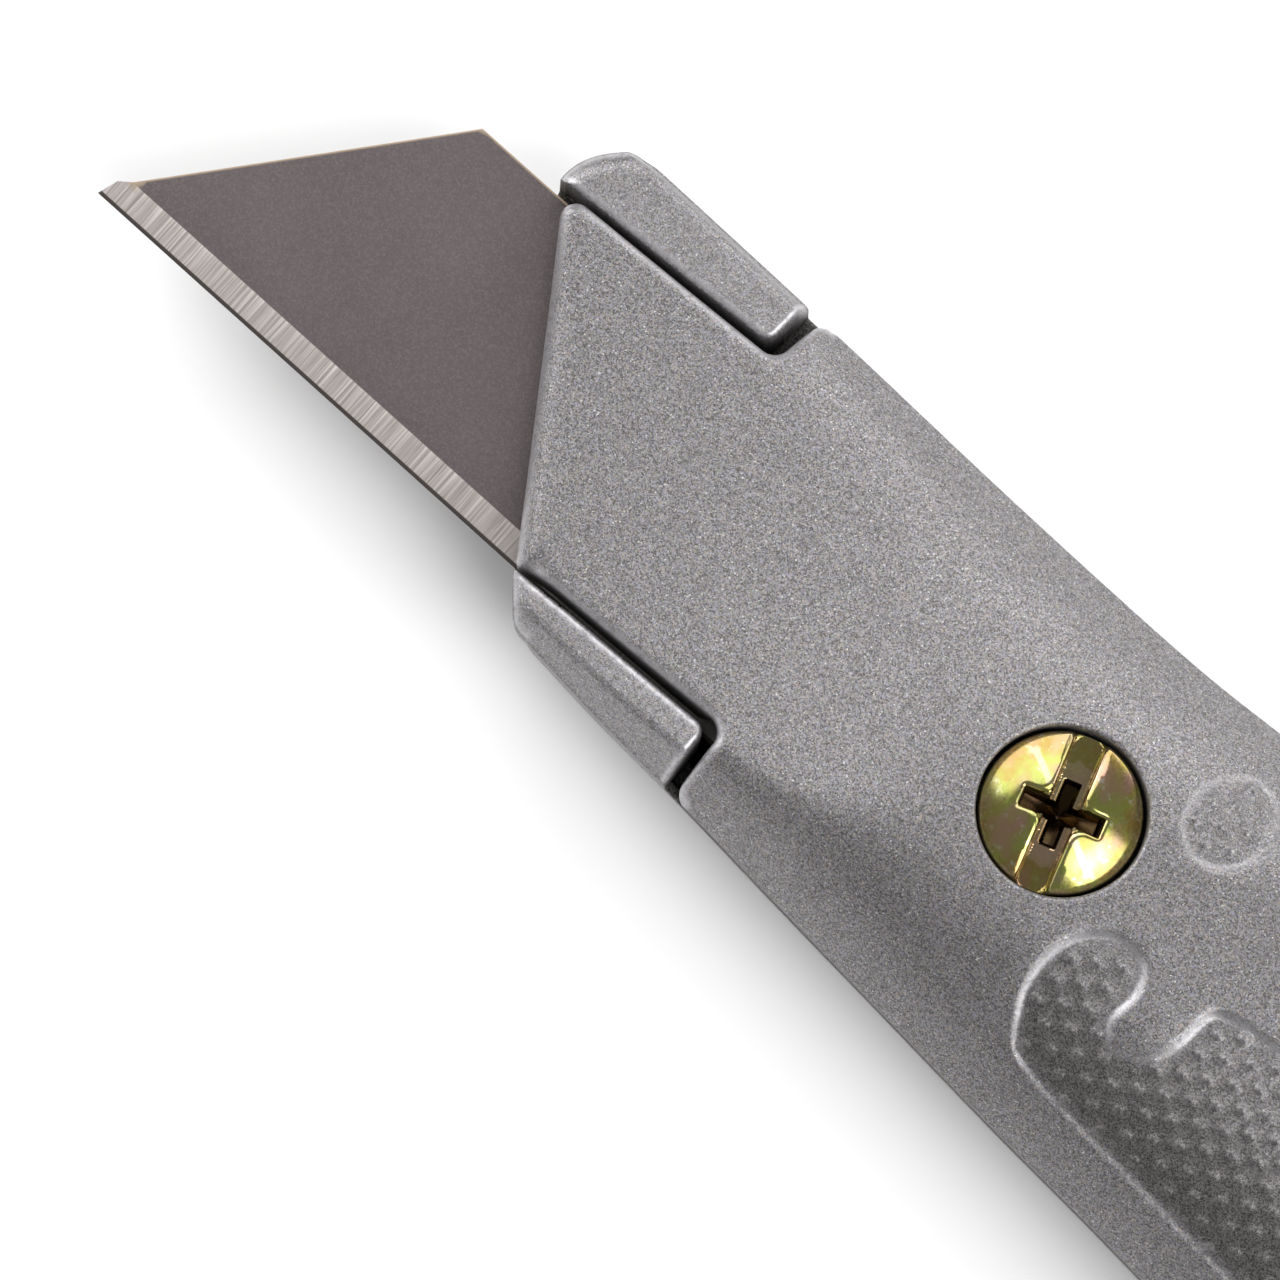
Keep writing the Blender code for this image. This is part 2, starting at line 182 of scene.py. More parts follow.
# clamping screw and what it goes through
SCREW_AT = (70.1, 10.35)
HEAD_RADIUS = 4.94
HEAD_UNDERSIDE = 4.8
HEAD_RIM = 7.1
HEAD_TOP = 8.1
SCREW_END = -5.5
THREAD_RADIUS = 2.48
THREAD_ROOT = 2.08
THREAD_PITCH = 0.8
SLOT_HALF = 0.93
SLOT_FLOOR = 6.4
SLOT_ANGLE = 109
BORE_RADIUS = 2.62
BORE_END = -6.5
SINK_RADIUS = 5.18
SINK_FILLET = 0.3
SINK_FLOOR = 4.5
FRONT_BOSS = (7.2, 2.5)
FRONT_TUBE = 4.8
REAR_BOSS = 5.0
ROUND_STEPS = 96

# spare blades and what holds them
SPARE_COUNT = 5
SPARE_CENTRE = (113.0, 7.6)
SPARE_ANGLE = -5
SPARE_LOWEST = -4.975
SPARE_PITCH = 0.95
SPARE_PIN_TOP = 0.5
RIB_TOP = 5.4
RIB_SIZE = (1.4, 13)
RIB_AT = [(-22, -6), (-8, 0), (8, 0), (22, -6)]

# peg at the tail
PEG_AT = (149.0, 4.0)
PEG_RADIUS = 1.5
PEG_TOP = 2.2
SOCKET_RADIUS = 1.85
SOCKET_DEPTH = 3.0
PEG_BOSS_RADIUS = 3.3

# how finely the surfaces are sampled
EDGE_STEP = 0.45
GRID_STEP = 0.7
FINE_STEP = 0.32
RINGS = [0.02, 0.07, 0.15, 0.28, 0.45, 0.65, 0.9, 1.2, 1.6, 2.1, 2.7, 3.4]

# softboxes: azimuth (0 over the tail, 90 over the spine), elevation, size in metres and watts
SOFTBOXES = {"spot": (-7, 61, (0.27, 0.36), 0.85), "wide": (140, 50, (0.75, 0.5), 2.85),
             "tail_spine": (45, 22, (0.42, 0.42), 1.3), "spine": (90, 22, (0.42, 0.42), 1.4),
             "nose": (180, 22, (0.42, 0.42), 2.4), "nose_belly": (225, 22, (0.42, 0.42), 0.7),
             "tail": (0, 22, (0.42, 0.42), 1.7), "tail_high": (0, 50, (0.42, 0.42), 1.6)}
LIGHT_DISTANCE = 0.7
SKY_STRENGTH = 0.25

# side of the table top, in metres
TABLE_SIZE = 18

# camera, in plan millimetres and degrees
VIEW_CENTRE = (43.819, 1.883, 0)
VIEW_DISTANCE = 314
VIEW_TURN = 42.25
VIEW_TILT = 8
VIEW_LENS = 143.82

blade_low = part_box("working_blade")[0]
ORIGIN = blade_low + Vector((0, 0, BLADE_THICKNESS / 2 * MM))


# ---------------------------------------------------------------- plan curves


def spline(points, steps=6):
    """Points on a smooth open curve through the given ones."""
    rows = np.array([points[0], *points, points[-1]], float)
    out = []
    for b, s, e, a in zip(rows, rows[1:], rows[2:], rows[3:]):
        for t in np.arange(steps) / steps:
            out.append(0.5 * (2 * s + (e - b) * t + (2 * b - 5 * s + 4 * e - a) * t * t
                              + (3 * s - b - 3 * e + a) * t ** 3))
    return np.array([*out, rows[-1]])


def closed_spline(points, steps=8):
    """Points on a smooth closed curve through the given ones."""
    count = len(points)
    wrapped = [*points[-2:], *points, *points[:2]]
    return spline(wrapped, steps)[2 * steps:(count + 2) * steps]


def arc(centre, radius, start, end, steps):
    angles = np.radians(np.linspace(start, end, steps + 1))
    return np.array(centre) + radius * np.column_stack([np.cos(angles), np.sin(angles)])


def circle(centre, radius, steps=ROUND_STEPS):
    return arc(centre, radius, 0, 360, steps)[:-1]


def rounded(corners, steps=8):
    """A polygon with each corner ((u, v), radius) rounded by its radius."""
    out = []
    count = len(corners)
    for k, (point, radius) in enumerate(corners):
        here = Vector(point)
        if radius == 0:
            out.append(tuple(here))
            continue
        back = (Vector(corners[k - 1][0]) - here).normalized()
        ahead = (Vector(corners[(k + 1) % count][0]) - here).normalized()
        half = back.angle(ahead) / 2
        middle = here + (back + ahead).normalized() * radius / math.sin(half)
        start = here + back * radius / math.tan(half) - middle
        end = here + ahead * radius / math.tan(half) - middle
        for s in range(steps + 1):
            out.append(tuple(middle + start.lerp(end, s / steps).normalized() * radius))
    return np.array(out)


def divided(path, step, closed=True):
    """The path with its long segments divided into equal steps."""
    ends = np.roll(path, -1, axis=0) if closed else path[1:]
    out = []
    for start, end in zip(path, ends):
        count = max(1, math.ceil(np.linalg.norm(end - start) / step))
        out += [start + (end - start) * k / count for k in range(count)]
    if not closed:
        out.append(path[-1])
    return np.array(out)


def distance_to(points, path, closed=True):
    """Distance from each point to the nearest place on a path."""
    ends = np.roll(path, -1, axis=0) if closed else path[1:]
    best = np.full(len(points), np.inf)
    for start, end in zip(path, ends):
        run = end - start
        share = np.clip((points - start) @ run / max(run @ run, 1e-12), 0, 1)
        gap = points - start - share[:, None] * run
        best = np.minimum(best, (gap ** 2).sum(axis=1))
    return np.sqrt(best)


def inside(points, loop):
    x, y = points.T
    out = np.zeros(len(points), bool)
    for (x0, y0), (x1, y1) in zip(loop, np.roll(loop, -1, axis=0)):
        if y0 != y1:
            out ^= ((y0 > y) != (y1 > y)) & (x < (x1 - x0) * (y - y0) / (y1 - y0) + x0)
    return out


def signed(points, loop):
    """Distance to a loop, negative inside it."""
    return distance_to(points, loop) * np.where(inside(points, loop), -1, 1)


def grown(loop, distance):
    """The closed loop with each of its points moved outwards by a small distance."""
    along = np.roll(loop, -1, axis=0) - np.roll(loop, 1, axis=0)
    along /= np.linalg.norm(along, axis=1)[:, None]
    return loop + distance * np.column_stack([along[:, 1], -along[:, 0]]) * turning(loop)


def offset(loop, distance):
    """Points at a distance outside (or, if negative, inside) a closed loop."""
    out = grown(loop, distance)
    return out[np.abs(distance_to(out, loop) - abs(distance)) < 0.03 * abs(distance) + 0.001]


def turning(loop):
    """1 for a loop that runs anticlockwise, -1 for one that runs clockwise."""
    x, y = loop.T
    return math.copysign(1, (x * np.roll(y, -1) - y * np.roll(x, -1)).sum())


def grid(low, high, step):
    """A triangular grid of points over a box."""
    rows = []
    for k, y in enumerate(np.arange(low[1], high[1], step * math.sqrt(3) / 2)):
        x = np.arange(low[0] + (k % 2) * step / 2, high[0], step)
        rows.append(np.column_stack([x, np.full(len(x), y)]))
    return np.concatenate(rows)


def clear_of(points, others, gap):
    """The points that are further than a gap from every other point."""
    tree = KDTree(len(others))
    for k, (x, y) in enumerate(others):
        tree.insert((x, y, 0), k)
    tree.balance()
    return points[[tree.find((x, y, 0))[2] > gap for x, y in points]]


def gathered(edge, groups):
    """Points for a sheet: each group leaves out what is too near an earlier one."""
    out = edge
    for points, gap in groups:
        if len(points):
            out = np.concatenate([out, clear_of(points, out, gap)])
    return out[len(edge):]


# ---------------------------------------------------------------- heights


def smooth(x):
    x = np.clip(x, 0, 1)
    return x * x * (3 - 2 * x)


def ramp(distance, width):
    """0 inside a border and 1 outside it, with a slope of that width."""
    return smooth(distance / width + 0.5)


def mix(a, b, share):
    return a + (b - a) * share


def soft_min(a, b, blend):
    share = np.clip(0.5 + (b - a) / (2 * blend), 0, 1)
    return mix(b, a, share) - blend * share * (1 - share)


def fillet(distance, radius):
    """How far a rounded edge has dropped at a distance in from it."""
    short = np.clip(radius - distance, 0, radius)
    return radius - np.sqrt(radius ** 2 - short ** 2)


BUTT = arc(BUTT_CENTRE, BUTT_RADIUS, *BUTT_ARC, 6)
OUTLINE = np.concatenate([[SPINE[0]], spline([*SPINE[1:], *BUTT, *BELLY[:-1]]), [BELLY[-1]]])
TAIL = int(OUTLINE[:, 0].argmax())


def around_tail(spine_u, belly_u, margin):
    """The outline from one place on the spine, round the tail, to one on the belly."""
    spine, belly = OUTLINE[:TAIL], OUTLINE[TAIL:]
    start = (spine_u, np.interp(spine_u, spine[:, 0], spine[:, 1]))
    end = (belly_u, np.interp(belly_u, belly[::-1, 0], belly[::-1, 1]))
    between = [*spine[spine[:, 0] > spine_u + margin], *belly[belly[:, 0] > belly_u + margin]]
    return start, between, end


def front_edge():
    """The front half's outline, and the part of it along its opening."""
    start, between, end = around_tail(*FRONT_ENDS, 2 * CORNER_RADIUS)
    corners = [(start, CORNER_RADIUS), *((tuple(p), 0) for p in between),
               (end, CORNER_RADIUS), *FRONT_OPENING]
    loop = rounded(corners)
    first = 9 + len(between)
    return loop, np.concatenate([loop[first:], loop[:9]])


def rear_edge():
    """The rear half's outline, and the part of it along its nose."""
    start, between, end = around_tail(*REAR_ENDS, 0.4)
    nose = np.concatenate([spline(NOSE_BELOW), spline(NOSE_ABOVE)])
    return np.concatenate([[start], between, [end], nose]), nose


def spineward(points):
    """0 on the belly's side and 1 on the spine's."""
    return smooth((points[:, 1] - 5) / 8)


def crown(points, belly_reach, spine_reach):
    """Height of a surface that rises from the outline to its full height."""
    reach = mix(belly_reach, spine_reach, spineward(points))
    share = np.clip(distance_to(points, OUTLINE) / reach, 0, 1)
    return BAND_TOP + (HALF_THICKNESS - BAND_TOP) * (1 - (1 - share) ** CROWN_POWER)


def handle_crown(points):
    """Height of the handle's plain rounded surface."""
    u = points[:, 0]
    belly_reach = mix(*BELLY_REACH, smooth((u - BELLY_CHANGE[0]) / BELLY_CHANGE[1]))
    spine_reach = mix(*SPINE_REACH, smooth((u - SPINE_CHANGE[0]) / SPINE_CHANGE[1]))
    return crown(points, belly_reach, spine_reach)


def scoop(points):
    return SCOOP_HEIGHT + (points[:, 0] - SCOOP_U) ** 2 / (2 * SCOOP_RADIUS)


def nearest_pebble(points):
    """The place of the nearest pebble in the lattice that covers the plan."""
    steps = np.array(PEBBLE_STEPS)
    counts = np.round((points - PEBBLE_START) @ np.linalg.inv(steps))
    return counts @ steps + PEBBLE_START


def border_slope(points):
    """Width of the pads' sloping border, which fades out at the end of the tongue between them."""
    middle, reach, width = PAD_FADE
    gap = np.linalg.norm(points - middle, axis=1)
    return mix(width, PAD_SLOPE, smooth(gap / reach))


def pad_relief(points, pads):
    out = np.zeros(len(points))
    for pad, depth in zip(pads, PAD_DEPTHS):
        near = inside(points, offset_box(pad, PAD_SLOPE))
        here = points[near]
        sunk = depth * (ramp(signed(here, pad), border_slope(here)) - 1)
        pebble = nearest_pebble(here)
        reach = np.linalg.norm(here - pebble, axis=1) / PEBBLE_RADIUS
        bump = PEBBLE_HEIGHT * np.clip(1 - reach ** 2, 0, 1) ** 2
        out[near] += sunk + np.where(signed(pebble, pad) < -PEBBLE_MARGIN, bump, 0)
    return out


def offset_box(loop, margin):
    low, high = loop.min(axis=0) - margin, loop.max(axis=0) + margin
    return np.array([low, (high[0], low[1]), high, (low[0], high[1])])


def pebbles(pad):
    """The middles of the pebbles in a pad."""
    cover = grid(pad.min(axis=0), pad.max(axis=0), 0.4)
    places = np.unique(np.round(nearest_pebble(cover), 4), axis=0)
    return places[signed(places, pad) < -PEBBLE_MARGIN]


def pad_points(pad):
    """Sample points that follow a pad's border and its pebbles."""
    fine = divided(pad, 0.4)
    border = [offset(fine, PAD_SLOPE * k / 6) for k in (-3.2, -2, -1, 1, 2, 3.2)]
    places = pebbles(pad)
    rings = [places]
    for radius, steps in ((0.16, 6), (0.32, 8), (0.48, 8)):
        rings += [places + step for step in circle((0, 0), radius, steps)]
    return np.concatenate([fine, *border, *rings])


PADS = [closed_spline(pad) for pad in (LOWER_PAD, UPPER_PAD, OVAL_PAD)]


def outer_height(points, path):
    """Height of a half's outer surface, with the edge along `path` rounded."""
    plain = soft_min(handle_crown(points), scoop(points), mix(*SCOOP_BLEND, spineward(points)))
    u, v = path.T
    slanted = (v > -0.2) & (v < 18.8) & (u < 36)
    near_slant = distance_to(points, path[slanted], False)
    near_path = distance_to(points, path, False)
    weight = np.exp(-((near_slant - near_path) / 1.2) ** 2)
    slant_fillet = mix(SLANT_FILLET, TIP_FILLET, smooth((points[:, 1] - 13) / 5))
    return plain - fillet(near_path, mix(NOTCH_FILLET, slant_fillet, weight))


def outer_points(edge, pads, holes=()):
    """Sample points for a half's outer surface."""
    rings = np.concatenate([offset(edge, -reach) for reach in RINGS])
    coarse = grid((18, -12), (158, 26), GRID_STEP)
    fine = grid((45, -6), (72, 25), FINE_STEP)
    crease = np.abs(handle_crown(fine) - scoop(fine)) < 0.9
    groups = [(rings, 0.015)]
    groups += [(circle(centre, radius), 0.1) for centre, radius in holes]
    groups += [(pad_points(pad), 0.06) for pad in pads]
    groups += [(fine[crease], 0.2), (coarse, 0.35)]
    return gathered(edge, groups)


# ---------------------------------------------------------------- the hollow side of each half


def hollow_depth(points):
    """Depth of the hollow, below the parting plane."""
    reach = distance_to(points, OUTLINE)
    share = np.clip((reach - HOLLOW_EDGE) / HOLLOW_REACH, 0, 1)
    rise = HOLLOW_DEPTH - HOLLOW_RISE
    depth = HOLLOW_RISE + rise * (1 - (1 - share) ** HOLLOW_POWER)
    depth = np.minimum(depth, scoop(points) - ROOF)
    border = np.minimum(reach - HOLLOW_EDGE, points[:, 0] - HOLLOW_START)
    return mix(PARTING, depth, ramp(border - WALL / 2, WALL))


def blade_outline(clearance=0.0):
    """A plain trapezoid, grown by a clearance."""
    lean = BLADE_SLANT / BLADE_HEIGHT
    out = clearance * (math.hypot(1, lean) + lean)
    up = clearance * (math.hypot(1, lean) - lean)
    top = BLADE_HEIGHT + clearance
    return np.array([(-out, -clearance), (BLADE_LENGTH + out, -clearance),
                     (BLADE_LENGTH - BLADE_SLANT + up, top), (BLADE_SLANT - up, top)])


def turned(points, centre, degrees):
    """Points drawn about (0, 0), turned and moved to a centre."""
    c, s = math.cos(math.radians(degrees)), math.sin(math.radians(degrees))
    return np.array(points) @ np.array([(c, s), (-s, c)]) + centre


def pin_places(centre, degrees):
    """Where the two notches of a blade at `centre` are held."""
    reach = BLADE_HEIGHT / 2 - PIN_BELOW_SPINE
    return turned([(-NOTCH_OFFSET, reach), (NOTCH_OFFSET, reach)], centre, degrees)


def cut(depth, points, loop, floor):
    """Depth after a recess with that outline has been cut to a floor."""
    return mix(np.maximum(depth, floor), depth, ramp(signed(points, loop), WALL / 2))


def stood(depth, points, loop, top):
    """Depth after a boss, post or rib with that outline has been left standing."""
    return mix(np.minimum(depth, top), depth, ramp(signed(points, loop) - WALL / 2, WALL))


def wall_points(loop, width=WALL):
    fine = divided(loop, 0.4)
    return np.concatenate([fine, *(offset(fine, width * k) for k in (-0.5, 0.25, 0.5, 0.75, 1.0))])


def inner_points(edge, loops):
    """Sample points for a half's hollow side, close together at the foot of each wall."""
    rings = np.concatenate([offset(edge, -reach) for reach in RINGS])
    hollow_edge = offset(divided(OUTLINE, 0.5), -HOLLOW_EDGE)
    rim = hollow_edge[hollow_edge[:, 0] > HOLLOW_START]
    end = divided(np.array([(HOLLOW_START, -2.0), (HOLLOW_START, 22.0)]), 0.4, False)
    walls = [wall_points(loop) for loop in loops]
    for k in (0, 0.25, 0.5, 0.75, 1.0):
        walls.append(end + (k * WALL, 0))
        walls.append(offset(divided(OUTLINE, 0.5), -HOLLOW_EDGE - k * WALL))
    coarse = grid((18, -12), (158, 26), GRID_STEP)
    groups = [(wall, 0.03) for wall in walls]
    return gathered(edge, [*groups, (rings, 0.1), (rim, 0.1), (coarse, 0.35)])


def rectangle(size, middle):
    """Corners of an upright rectangle about its middle."""
    wide, high = size[0] / 2, size[1] / 2
    u, v = middle
    return [(u - wide, v - high), (u + wide, v - high), (u + wide, v + high), (u - wide, v + high)]


POCKET = blade_outline(POCKET_CLEARANCE)
UPPER_LUG_LOOP = rounded(UPPER_LUG)
LOWER_LUG_LOOP = rounded(LOWER_LUG)
BLADE_PINS = [circle(at, PIN_RADIUS, 24)
              for at in pin_places((BLADE_LENGTH / 2, BLADE_HEIGHT / 2), 0)]
SPARE_PINS = [circle(at, PIN_RADIUS, 24) for at in pin_places(SPARE_CENTRE, SPARE_ANGLE)]
RIBS = [turned(rectangle(RIB_SIZE, at), SPARE_CENTRE, SPARE_ANGLE) for at in RIB_AT]
PEG_BOSS = circle(PEG_AT, PEG_BOSS_RADIUS, 48)
PEG = circle(PEG_AT, PEG_RADIUS, 32)
SOCKET = circle(PEG_AT, SOCKET_RADIUS, 32)


def front_inside(points):
    """Height of the front half's hollow side."""
    depth = hollow_depth(points)
    depth = stood(depth, points, circle(SCREW_AT, FRONT_BOSS[0], 48), FRONT_BOSS[1])
    depth = stood(depth, points, circle(SCREW_AT, FRONT_TUBE, 48), PARTING)
    depth = stood(depth, points, PEG_BOSS, PARTING)
    depth = cut(depth, points, SOCKET, SOCKET_DEPTH)
    return cut(depth, points, POCKET, POCKET_DEPTH)


def lug_height(points, nose):
    """Height of the two lugs, where they stand."""
    plain = soft_min(crown(points, *LUG_REACH), scoop(points) - LUG_DROP, 0.4)
    sides = np.minimum(distance_to(points, UPPER_LUG_LOOP), distance_to(points, LOWER_LUG_LOOP))
    to_end = points[:, 0] - mix(*LUG_ENDS, spineward(points))
    side_drop = fillet(sides, mix(*LUG_FILLET, smooth(to_end)))
    nose_drop = fillet(distance_to(points, nose, False), mix(*NOSE_FILLET, spineward(points)))
    return plain - np.maximum(side_drop, nose_drop)


def rear_inside(points, nose):
    """Height of the rear half's hollow side, with its lugs, pins and peg."""
    depth = hollow_depth(points)
    depth = stood(depth, points, circle(SCREW_AT, REAR_BOSS, 48), PARTING)
    depth = stood(depth, points, PEG_BOSS, PARTING)
    for rib in RIBS:
        depth = stood(depth, points, rib, RIB_TOP)
    for pin in SPARE_PINS:
        depth = stood(depth, points, pin, SPARE_PIN_TOP)
    depth = cut(depth, points, POCKET, POCKET_DEPTH)
    for moat in MOATS:
        depth = cut(depth, points, np.array(moat), MOAT_DEPTH)
    for pin in BLADE_PINS:
        depth = stood(depth, points, pin, -PIN_TOP)
    depth = stood(depth, points, PEG, -PEG_TOP)
    lugs = -lug_height(points, nose)
    for loop in (UPPER_LUG_LOOP, LOWER_LUG_LOOP):
        depth = mix(lugs, depth, ramp(signed(points, loop) - LUG_WALL / 2, LUG_WALL))
    return -depth


# ---------------------------------------------------------------- meshes


class Shape:
    """The points, in millimetres, and the faces of one piece.

    Each point has two marks from 0 to 1. `dark` is for painted shade in the pads, in the gaps,
    along the parting line and on the blade where the handle covers it. It is also for the unpainted
    casting of the hollow sides, drawn dark enough to stand for their shade too.
    `bright` is for painted highlights on rounded edges, lug tops, pad borders and pebble tops, and
    for a light rim along each blade's outline.
    """

    def __init__(self):
        self.points = []
        self.faces = []
        self.dark = []
        self.bright = []

    def add(self, points, dark=0.0, bright=0.0):
        """Add points and return their numbers."""
        first = len(self.points)
        self.points.extend(map(tuple, points))
        self.dark.extend(np.zeros(len(points)) + dark)
        self.bright.extend(np.zeros(len(points)) + bright)
        return list(range(first, len(self.points)))

    def band(self, one, other):
        """Faces between two closed rings of the same length."""
        for k in range(len(one)):
            self.faces.append((one[k - 1], one[k], other[k], other[k - 1]))

    def wall(self, one, other, rows):
        """A wall between two rings, through evenly spaced rows."""
        ends = [np.array([self.points[k] for k in ring]) for ring in (one, other)]
        dark = [np.array([self.dark[k] for k in ring]) for ring in (one, other)]
        last = one
        for row in range(1, rows):
            ring = self.add(mix(*ends, row / rows), mix(*dark, row / rows))
            self.band(last, ring)
            last = ring
        self.band(last, other)

    def lathe(self, start, rows, end=None, dark=0.0):
        """Bands from a ring through rows of points, to another ring or to a closing point."""
        last = start
        for row in rows:
            ring = self.add(row, dark)
            self.band(last, ring)
            last = ring
        if end is not None:
            self.band(last, end)
            return
        middle = self.add([np.mean([self.points[k] for k in last], axis=0)])[0]
        for k in range(len(last)):
            self.faces.append((last[k - 1], last[k], middle))

    def sheet(self, loops, extra, height, marks=None):
        """A surface over the plan between closed loops; returns the loops' point numbers."""
        inner = inside(extra, loops[0]) & (distance_to(extra, loops[0]) > 0.012)
        for hole in loops[1:]:
            inner &= ~inside(extra, hole) & (distance_to(extra, hole) > 0.05)
        plan = np.concatenate([*loops, extra[inner]])
        edges = []
        starts = np.cumsum([0, *map(len, loops)])
        for start, loop in zip(starts, loops):
            edges += [(int(start + k), int(start + (k + 1) % len(loop))) for k in range(len(loop))]
        made = geometry.delaunay_2d_cdt([Vector(p) for p in plan], edges, [], 1, 1e-6)
        places, faces, sources = np.array(made[0]), np.array(made[2]), made[3]
        rows = np.column_stack([places, height(places)])
        numbers = self.add(rows, *(marks(rows) if marks else ()))
        middles = places[faces].mean(axis=1)
        kept = inside(middles, loops[0])
        for hole in loops[1:]:
            kept &= ~inside(middles, hole)
        self.faces += [tuple(numbers[k] for k in face) for face in faces[kept]]
        found = {source: numbers[k] for k, group in enumerate(sources) for source in group}
        return [[found[start + k] for k in range(len(loop))] for start, loop in zip(starts, loops)]


def ring_at(centre, radius, height, steps=ROUND_STEPS):
    """A ring of points; radius and height may change round it."""
    angles = np.arange(steps) * 2 * math.pi / steps
    rows = (centre[0] + radius * np.cos(angles), centre[1] + radius * np.sin(angles),
            np.zeros(steps) + height)
    return np.column_stack(rows)


def thread_radius(height, crest, root):
    """Radius round a right-hand thread at one height."""
    turns = np.arange(ROUND_STEPS) / ROUND_STEPS
    phase = np.abs((height / THREAD_PITCH - turns) % 1 - 0.5) * 2
    return mix(root, crest, smooth((phase - 0.12) / 0.7))


def made_object(shape, name, material, sharp=52):
    """A smooth-shaded closed object in metres, whose origin is the plan's."""
    mesh = bpy.data.meshes.new(name)
    mesh.from_pydata(shape.points, [], shape.faces)
    for mark in ("dark", "bright"):
        values = np.array(getattr(shape, mark), np.float32)
        mesh.attributes.new(mark, "FLOAT", "POINT").data.foreach_set("value", values)
    bm = bmesh.new()
    bm.from_mesh(mesh)
    loose = [vert for vert in bm.verts if not vert.link_faces]
    bmesh.ops.delete(bm, geom=loose, context="VERTS")
    bmesh.ops.recalc_face_normals(bm, faces=bm.faces)
    bmesh.ops.scale(bm, verts=bm.verts, vec=(MM, MM, MM))
    bm.to_mesh(mesh)
    bm.free()
    mesh.shade_smooth()
    mesh.set_sharp_from_angle(angle=math.radians(sharp))
    mesh.materials.append(material)
    obj = bpy.data.objects.new(name, mesh)
    obj.location = ORIGIN
    bpy.context.scene.collection.objects.link(obj)
    return obj


def stands_for(obj, node):
    """The object is shown in place of a CAD node and rides on the body of that name."""
    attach(obj, node)
    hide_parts(node)


def use_outside(rows, path, pads):
    """Marks of an outer surface: painted highlights on edges, pad borders and pebble tops, and
    painted shade in the pads.
    """
    points = rows[:, :2]
    dark = np.zeros(len(points))
    # painted highlight along the rounded edges beside the opening or the nose
    bright = smooth(1 - distance_to(points, path, False) / EDGE_HIGHLIGHT)
    for pad, depth in zip(pads, PAD_DEPTHS):
        near = inside(points, offset_box(pad, PAD_SLOPE))
        here = points[near]
        within = -signed(here, pad) / PAD_SLOPE
        from_belly = here[:, 1] - BELLY_SIDE
        # painted highlight on each pad's border, weaker on the belly side
        border = np.exp(-((within - BORDER_BAND[0]) / BORDER_BAND[1]) ** 2)
        border = border * PAD_SLOPE / border_slope(here)
        border *= BORDER_HIGHLIGHT * mix(BELLY_SHARE, 1, smooth(from_belly / 4))
        reach = np.linalg.norm(here - nearest_pebble(here), axis=1) / PEBBLE_RADIUS
        # painted highlight on the pebble tops
        top = PEBBLE_HIGHLIGHT * np.clip(1 - reach ** 2, 0, 1) * (within > 0.6)
        # painted shade in the sunken pads, darker on the belly side
        recess_shade = mix(*PAD_SHADE, smooth(from_belly / 11)) * smooth(within)
        share = depth / PAD_DEPTHS[0]
        dark[near] = np.maximum(dark[near], share * recess_shade)
        bright[near] = np.maximum(bright[near], share * np.maximum(border, top))
    return dark, bright


def use_inside(rows, nose=None):
    """Marks of a hollow side: unpainted casting, drawn dark enough to stand for the shade in the
    gaps, but for lugs that stand above the parting plane, which are painted and get painted
    highlights.
    """
    if nose is None:
        return 1.0, 0.0
    painted = smooth((rows[:, 2] - 0.3) / 1.2)
    edges = smooth(1 - distance_to(rows[:, :2], nose, False) / EDGE_HIGHLIGHT)
    ends = np.minimum(distance_to(rows[:, :2], UPPER_LUG_LOOP),
                      distance_to(rows[:, :2], LOWER_LUG_LOOP))
    edges = np.maximum(edges, smooth(1 - np.abs(ends - 0.3) / 0.3))
    return 1 - painted, painted * np.maximum(edges, LUG_HIGHLIGHT)


def front_shell(material):
    edge, path = front_edge()
    edge = divided(edge, EDGE_STEP)
    rim = circle(SCREW_AT, SINK_RADIUS + SINK_FILLET)
    bore = circle(SCREW_AT, BORE_RADIUS)

    def top(points):
        return outer_height(points, path) + pad_relief(points, PADS)

    shape = Shape()
    around = [(SCREW_AT, SINK_RADIUS + SINK_FILLET + step) for step in (0.15, 0.5, 1.0)]
    upper, sink = shape.sheet([edge, rim], outer_points(edge, PADS, around), top,
                              lambda rows: use_outside(rows, path, PADS))
    loops = [circle(SCREW_AT, FRONT_BOSS[0], 48), circle(SCREW_AT, FRONT_TUBE, 48), PEG_BOSS,
             SOCKET, POCKET]
    inset = grown(edge, -PARTING_CHAMFER)
    lower, through = shape.sheet([inset, bore], inner_points(inset, loops), front_inside,
                                 use_inside)
    # the parting edge is fully dark: painted shade along the parting line and down the walls of the
    # opening
    ledge = shape.add([(*edge[k], shape.points[lower[k]][2] + PARTING_CHAMFER)
                       for k in range(len(edge))], 1.0)
    shape.wall(upper, ledge, 3)
    shape.band(ledge, lower)
    rim_height = np.array([shape.points[k][2] for k in sink])
    rows = []
    for angle in np.radians([15, 30, 45, 60, 75, 90]):
        radius = SINK_RADIUS + SINK_FILLET * (1 - math.sin(angle))
        rows.append(ring_at(SCREW_AT, radius, rim_height - SINK_FILLET * (1 - math.cos(angle))))
    for share in (0.35, 0.7):
        height = mix(rim_height - SINK_FILLET, SINK_FLOOR, share)
        rows.append(ring_at(SCREW_AT, SINK_RADIUS, height))
    rows.append(ring_at(SCREW_AT, SINK_RADIUS, SINK_FLOOR + 0.2))
    rows.append(ring_at(SCREW_AT, SINK_RADIUS - 0.06, SINK_FLOOR + 0.06))
    rows.append(ring_at(SCREW_AT, SINK_RADIUS - 0.2, SINK_FLOOR))
    rows.append(ring_at(SCREW_AT, BORE_RADIUS + 0.2, SINK_FLOOR))
    rows += [ring_at(SCREW_AT, BORE_RADIUS, height) for height in (SINK_FLOOR - 0.2, 2.0)]
    shape.lathe(sink, rows, through)
    return made_object(shape, "front_half", material)


